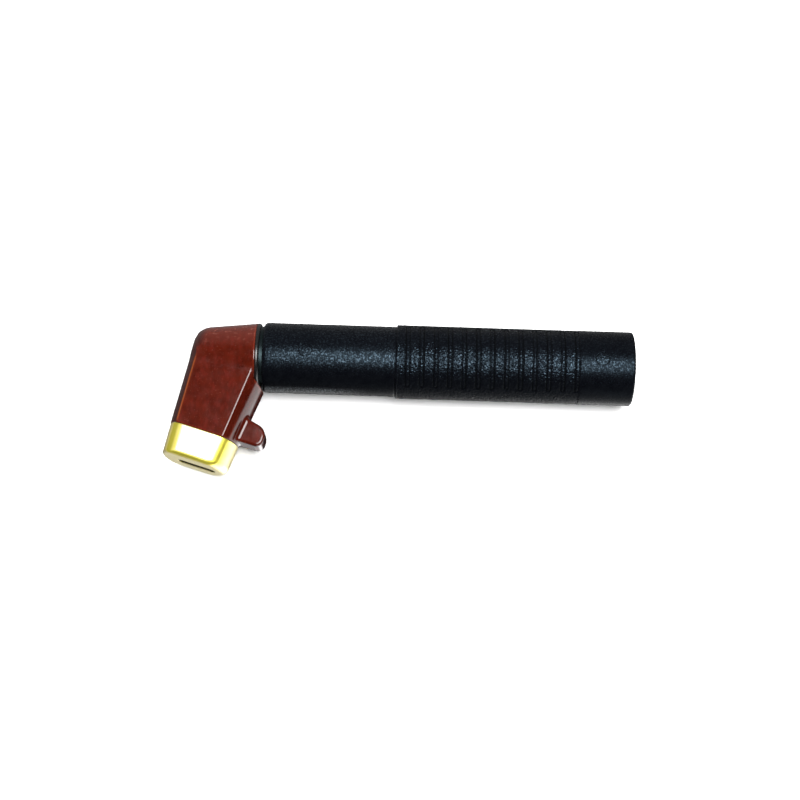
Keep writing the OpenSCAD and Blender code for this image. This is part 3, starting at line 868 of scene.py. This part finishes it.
def black_moulding():
    """Black grained moulding, with a coarser grain on the grip, and painted shade as less shine in the
    grooves and on the side towards -y.
    """
    made, tree, bsdf = material("black_grained_moulding")
    grip, groove = attribute(tree, "grip"), attribute(tree, "groove")
    cloud = object_noise(tree, 300, 4, 0.6)
    tone = ramp(tree, cloud, (0.3, (0.0009, 0.0010, 0.0016)), (0.7, (0.0018, 0.0021, 0.0029)))
    dust = ramp(tree, object_noise(tree, 1700, 2, 0.5), (0.62, 0), (0.72, 0.30))
    tone = mixed(tree, dust, tone, (0.006, 0.007, 0.0085))
    tone = mixed(tree, groove, tone, (0.0012, 0.0014, 0.0017))
    tree.links.new(tone, bsdf.inputs["Base Color"])
    smear = object_noise(tree, 700, 4, 0.6)
    plain_rough = ramp(tree, smear, (0.3, 0.24), (0.7, 0.34))
    grip_rough = ramp(tree, smear, (0.3, 0.20), (0.7, 0.30))
    tree.links.new(mixed(tree, grip, plain_rough, grip_rough), bsdf.inputs["Roughness"])
    # each grain of the moulded skin catches the light or doesn't
    sparkle = ramp(tree, object_noise(tree, 1250, 1.5, 0.6), (0.44, 0.06), (0.56, 0.16), (0.66, 0.5))
    # painted shade: the grooves shine less
    level = mixed(tree, groove, sparkle, (0.03, 0.03, 0.03))
    # painted shade: less shine on the side towards -y, and on the duller grip and rear
    level = mixed(tree, attribute(tree, "under"), level, (0.02, 0.02, 0.02))
    tree.links.new(level, bsdf.inputs["Specular IOR Level"])
    bsdf.inputs["Specular Tint"].default_value = (0.52, 0.78, 1.0, 1)
    bump(tree, bsdf, object_noise(tree, 900, 3, 0.6), 0.00003, 0.5)
    bump(tree, bsdf, object_noise(tree, 1700, 2, 0.65), 0.00010, 1.0)
    cells = node(tree, "ShaderNodeTexVoronoi", in_Scale=1050.0)
    tree.links.new(node(tree, "ShaderNodeTexCoord").outputs["Object"], cells.inputs["Vector"])
    grain = mixed(tree, grip, (0.5, 0.5, 0.5), cells.outputs["Distance"])
    bump(tree, bsdf, grain, 0.00018, 1.0)
    return made


def plain_black(name, rough, tone):
    """A dark moulding, fibre or rubber with faint blotches."""
    made, tree, bsdf = material(name)
    colour = ramp(tree, object_noise(tree, 500, 4, 0.6), (0.3, tone * 0.7), (0.7, tone * 1.3))
    tree.links.new(colour, bsdf.inputs["Base Color"])
    worn = ramp(tree, object_noise(tree, 900, 4, 0.6), (0.3, rough * 0.85), (0.7, rough * 1.2))
    tree.links.new(worn, bsdf.inputs["Roughness"])
    bump(tree, bsdf, object_noise(tree, 1800, 3, 0.6), 0.00002, 0.7)
    return made


# ---- Floor, light and camera ----


def white_floor():
    """A pale floor under the grip, kept out of reflections so that the glossy parts show the studio."""
    reach = 6.0
    corners = [(-reach, -reach), (reach, -reach), (reach, reach), (-reach, reach)]
    mesh = bpy.data.meshes.new("floor")
    mesh.from_pydata([(x, y, -GRIP_R * MM) for x, y in corners], [], [(0, 1, 2, 3)])
    floor = bpy.data.objects.new("floor", mesh)
    bpy.context.scene.collection.objects.link(floor)
    floor.visible_glossy = False
    paint, _, shader = material("white_floor")
    shader.inputs["Base Color"].default_value = (0.8, 0.8, 0.8, 1)
    shader.inputs["Roughness"].default_value = 0.7
    shader.inputs["Specular IOR Level"].default_value = 0.1
    mesh.materials.append(paint)


def negative(tree, value):
    """The value times -1."""
    made = node(tree, "ShaderNodeMath", operation="MULTIPLY")
    tree.links.new(value, made.inputs[0])
    made.inputs[1].default_value = -1.0
    return made.outputs[0]


def studio_world():
    """A dim studio with a pale wall behind and bright boards low on the right and in front."""
    world = bpy.data.worlds.new("studio")
    bpy.context.scene.world = world
    world.use_nodes = True
    sky = world.node_tree
    background = sky.nodes["Background"]
    split = node(sky, "ShaderNodeSeparateXYZ")
    sky.links.new(node(sky, "ShaderNodeTexCoord").outputs["Generated"], split.inputs[0])
    right, back, up = split.outputs
    front, down = negative(sky, back), negative(sky, up)

    def within(share, *others):
        """A share that fades out with each of the others."""
        for other in others:
            share = mixed(sky, other, BLACK, share)
        return share

    dim = ramp(sky, up, (0.0, 0.03), (0.5, 0.04), (1.0, 0.06))
    wall = ramp(sky, back, (0.25, 0), (0.7, 0.35))
    front_board = within(ramp(sky, down, (0.5, 0), (0.8, 1)), ramp(sky, front, (0.0, 0), (0.10, 1)))
    right_board = within(
        ramp(sky, down, (0.0, 0), (0.08, 1)),
        ramp(sky, right, (0.03, 0), (0.12, 1)),
        ramp(sky, front, (0.0, 0), (0.05, 1)),
    )
    glow = mixed(sky, wall, dim, WHITE)
    glow = mixed(sky, front_board, glow, (1.1, 1.1, 1.1))
    glow = mixed(sky, right_board, glow, (4.0, 4.0, 4.0))
    sky.links.new(glow, background.inputs["Color"])
    background.inputs["Strength"].default_value = 1.0


def soft_light(name, place, aim, size, radiance):
    """A rectangular lamp of even radiance, in watts per steradian and square metre."""
    data = bpy.data.lights.new(name, "AREA")
    data.shape = "RECTANGLE"
    data.size, data.size_y = size
    data.energy = radiance * math.pi * size[0] * size[1]
    lamp = bpy.data.objects.new(name, data)
    bpy.context.scene.collection.objects.link(lamp)
    lamp.location = place
    lamp.rotation_euler = (Vector(aim) - Vector(place)).to_track_quat("-Z", "Y").to_euler()
    return lamp


def add_camera():
    """A camera above the holder's middle, leaning towards the nose and turned a little about its own axis."""
    away, middle_x, raised = 0.8, -0.1155, 0.01905
    lean_back = Matrix.Rotation(math.radians(-14.0), 4, "X")
    spin = Matrix.Rotation(math.radians(-1.85), 4, "Z")
    upright = Matrix.Rotation(-REST_ROLL, 4, "X")
    data = bpy.data.cameras.new("camera")
    data.lens = 72.0
    data.sensor_width = 36.0
    data.clip_start, data.clip_end = 0.05, 20.0
    camera = bpy.data.objects.new("camera", data)
    bpy.context.scene.collection.objects.link(camera)
    bpy.context.scene.camera = camera
    to_camera = Matrix.Translation((0, raised, 0)) @ spin @ lean_back
    to_camera = to_camera @ Matrix.Translation((-middle_x, 0, 0)) @ upright
    camera.matrix_world = to_camera.inverted() @ Matrix.Translation((0, 0, away))


# ---- The scene ----

insulator_piece = insulator_moulding()
casting_piece = nose_casting()
handle_piece = handle_moulding()
front_plugs = plug_pair("front_screw_plugs", FRONT_SCREW_X, FRONT_R, ["handle_screw_plugs"])
rear_plugs = plug_pair("rear_screw_plugs", REAR_SCREW_X, GRIP_R, ["bush_screw_plugs"])
collar_piece = collar_ring()
spring_piece = return_spring()

brass = cast_brass()
black = black_moulding()
turned_brass = turned_metal("turned_brass", (0.62, 0.46, 0.18), (0.80, 0.62, 0.28), 0.28)
dark_steel = turned_metal("blackened_steel", (0.04, 0.04, 0.045), (0.08, 0.08, 0.085), 0.38)
bright_steel = turned_metal("ground_steel", (0.50, 0.51, 0.53), (0.66, 0.67, 0.69), 0.22)
plated = turned_metal("dull_grey_plating", (0.015, 0.023, 0.025), (0.026, 0.038, 0.041), 0.36)

piece_finishes = [
    (insulator_piece, red_moulding()),
    (casting_piece, brass),
    (handle_piece, black),
    (front_plugs, black),
    (rear_plugs, black),
    (collar_piece, plain_black("black_ring_moulding", 0.28, 0.004)),
    (spring_piece, bright_steel),
]
node_finishes = {
    "threaded_sleeve": plated,
    "cable_bush": plain_black("black_fibre", 0.55, 0.03),
    "flange_seal": plain_black("seal_rubber", 0.6, 0.02),
    "clamp_lever": brass,
    "spring_plug": turned_brass,
    "cable_connector": turned_brass,
    "sleeve_lock_screw": dark_steel,
    "cable_set_screws": dark_steel,
    "handle_screws": dark_steel,
    "bush_screws": dark_steel,
    "pivot_pin": bright_steel,
    "thrust_ball": bright_steel,
    "thrust_pin": bright_steel,
}
node_pairs = [(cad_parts[name], finish) for name, finish in node_finishes.items()]
for shown, finish in piece_finishes + node_pairs:
    shown.data.materials.clear()
    shown.data.materials.append(finish)

white_floor()
studio_world()
# a softbox over the handle, which ends short of the head, and a fill from the left with no highlights
soft_light("overhead", (0.18, -0.2, 1.1), (0.18, -0.2, 0.0), (0.80, 0.62), 20.0)
fill = soft_light("fill", (-1.2, 0.35, 1.2), (-0.1, 0.0, 0.0), (1.0, 1.0), 17.0)
fill.visible_glossy = False
add_camera()

bpy.context.scene.view_settings.view_transform = "Standard"
bpy.context.scene.view_settings.look = "None"
